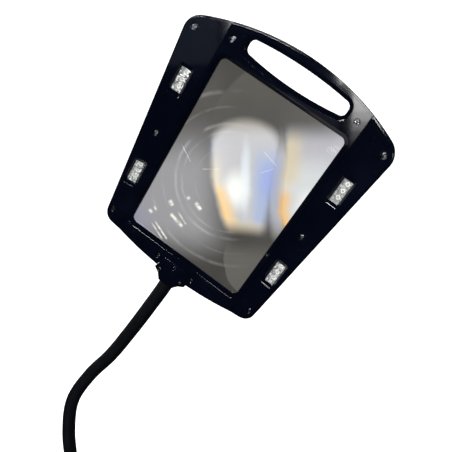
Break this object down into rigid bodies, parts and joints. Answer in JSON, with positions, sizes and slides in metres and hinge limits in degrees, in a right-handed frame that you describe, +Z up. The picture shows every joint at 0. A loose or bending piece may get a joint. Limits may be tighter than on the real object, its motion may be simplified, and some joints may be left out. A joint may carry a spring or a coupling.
{
  "type": "magnifying lamp",
  "caption": "Desk magnifying lamp: page-size Fresnel lens in a flared frame with a hand slot and LED windows, on a gooseneck and a weighted round base.",
  "frame": {"origin": "centre of the pad that the base stands on, at desk height", "axes": "+Z up; -Y the way the LED side of the head faces, towards the work; +X to the right when looking along +Y at that side"},
  "size_m": [0.5609, 0.25, 0.8136],
  "materials": {
    "shell": "gloss",
    "neck_sleeve": "satin",
    "lens": "clear moulded",
    "led_window": "clear moulded",
    "reflector": "plated",
    "board": "solder mask",
    "led": "phosphor",
    "lead": "satin",
    "switch": "moulded",
    "screw": "plated",
    "fitting": "turned",
    "weight": "as cast",
    "plate": "painted",
    "pad": "foam",
    "inlet": "moulded"
  },
  "bodies": {
    "base": {"base_cover": "shell", "base_weight": "weight", "base_plate": "plate", "base_pad": "pad", "base_screws": "screw", "neck_foot_fitting": "fitting", "neck_foot_nut": "fitting", "power_inlet": "inlet", "neck_link_8": "neck_sleeve"},
    "neck_7": {"neck_link_7": "neck_sleeve"},
    "neck_6": {"neck_link_6": "neck_sleeve"},
    "neck_5": {"neck_link_5": "neck_sleeve"},
    "neck_4": {"neck_link_4": "neck_sleeve"},
    "neck_3": {"neck_link_3": "neck_sleeve"},
    "neck_2": {"neck_link_2": "neck_sleeve"},
    "head": {"neck_link_1": "neck_sleeve", "neck_head_fitting": "fitting", "hub_front": "shell", "hub_rear": "shell", "hub_screws": "screw", "rear_shell": "shell", "middle_panel": "shell", "right_wing_cover": "shell", "left_wing_cover": "shell", "lens": "lens", "led_window_upper_right": "led_window", "led_window_upper_left": "led_window", "led_window_lower_right": "led_window", "led_window_lower_left": "led_window", "led_reflector_upper_right": "reflector", "led_reflector_upper_left": "reflector", "led_reflector_lower_right": "reflector", "led_reflector_lower_left": "reflector", "led_board_upper_right": "board", "led_board_upper_left": "board", "led_board_lower_right": "board", "led_board_lower_left": "board", "led_chips_upper_right": "led", "led_chips_upper_left": "led", "led_chips_lower_right": "led", "led_chips_lower_left": "led", "driver_board": "board", "switch_body": "switch", "head_leads": "lead", "cover_screws": "screw"},
    "power_button": {"power_button": "shell"}
  },
  "joints": [
    {"name": "neck_bend_7", "type": "hinge", "parent": "base", "child": "neck_7", "pos_m": [-0.05154, 0.00206, 0.09592], "axis": [-0.9986, 0, -0.0523], "range_deg": [-15, 15]},
    {"name": "neck_bend_6", "type": "hinge", "parent": "neck_7", "child": "neck_6", "pos_m": [-0.05563, 0.00823, 0.15444], "axis": [0.0121, 0.9903, -0.1386], "range_deg": [-15, 15]},
    {"name": "neck_bend_5", "type": "hinge", "parent": "neck_6", "child": "neck_5", "pos_m": [-0.04862, 0.01759, 0.21184], "axis": [-0.9455, 0, 0.3256], "range_deg": [-15, 15]},
    {"name": "neck_bend_4", "type": "hinge", "parent": "neck_5", "child": "neck_4", "pos_m": [-0.01764, 0.02751, 0.26043], "axis": [-0.1125, 0.9877, -0.1087], "range_deg": [-15, 15]},
    {"name": "neck_bend_3", "type": "hinge", "parent": "neck_4", "child": "neck_3", "pos_m": [0.02268, 0.03419, 0.30293], "axis": [-0.7547, 0, 0.6561], "range_deg": [-15, 15]},
    {"name": "neck_bend_2", "type": "hinge", "parent": "neck_3", "child": "neck_2", "pos_m": [0.05915, 0.03676, 0.3492], "axis": [-0.0101, 0.9998, -0.0142], "range_deg": [-15, 15]},
    {"name": "neck_bend_1", "type": "hinge", "parent": "neck_2", "child": "head", "pos_m": [0.09424, 0.03728, 0.39662], "axis": [-0.7934, 0, 0.6088], "range_deg": [-15, 15]},
    {"name": "button_press", "type": "slide", "parent": "head", "child": "power_button", "axis": [0, -1, 0], "range_m": [0, 0.002], "stiffness_N_per_m": 500, "springref_m": -0.0005}
  ]
}
